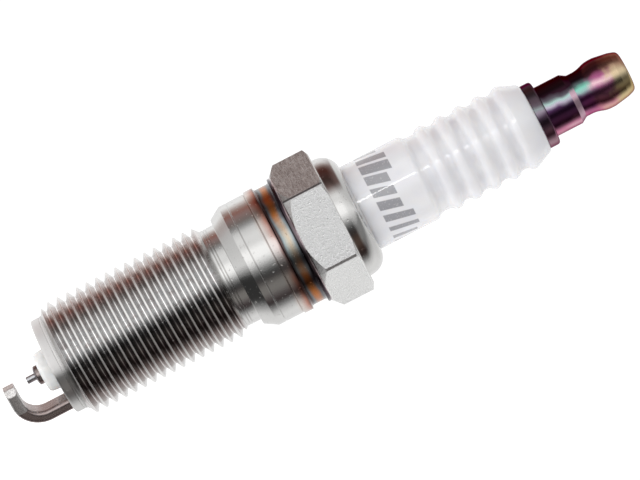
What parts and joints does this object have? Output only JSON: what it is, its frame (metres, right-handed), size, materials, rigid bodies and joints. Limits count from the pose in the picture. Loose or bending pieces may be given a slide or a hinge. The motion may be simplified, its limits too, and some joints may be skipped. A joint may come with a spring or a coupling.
{
  "type": "spark plug",
  "caption": "Long-reach spark plug: conical-seat shell with thread, hexagon and heat-tinted groove, ribbed ceramic insulator, fine-wire electrode, bent ground strap and solid terminal.",
  "frame": {"origin": "on the plug's axis, in the plane where the conical seat is 14.8 mm across (the seat's gauge plane)", "axes": "+Z along the plug's axis, towards the terminal; +X through a corner of the hexagon, on the side where the ground strap's leg stands (28 degrees from it towards +Y); two flats of the hexagon face +Y and -Y"},
  "size_m": [0.0182, 0.0158, 0.0809],
  "materials": {
    "shell_steel": "bright nickel plating, heat-tinted in the groove",
    "nickel_alloy": "drawn nickel alloy, slightly brown",
    "glazed_alumina": "white gloss glaze, bare and matt at the nose, with a plain grey printed band",
    "packing_steel": "bare steel",
    "talc": "pressed powder",
    "copper": "drawn copper",
    "fused_metal": "laser weld, slightly tinted",
    "iridium": "drawn and cut, satin",
    "seal_glass": "dark copper-filled glass, opaque",
    "resistor_fill": "carbon and glass mix, matt",
    "chromated_steel": "polished steel, iridescent chromate from violet to gold"
  },
  "bodies": {
    "root": {"shell": "shell_steel", "ground_electrode": "nickel_alloy", "insulator": "glazed_alumina", "front_gasket": "packing_steel", "rear_ring_lower": "packing_steel", "talc_packing": "talc", "rear_ring_upper": "packing_steel", "centre_electrode": "nickel_alloy", "copper_core": "copper", "tip_weld": "fused_metal", "firing_tip": "iridium", "lower_glass_seal": "seal_glass", "resistor": "resistor_fill", "upper_glass_seal": "seal_glass", "terminal_stud": "chromated_steel"}
  },
  "joints": []
}
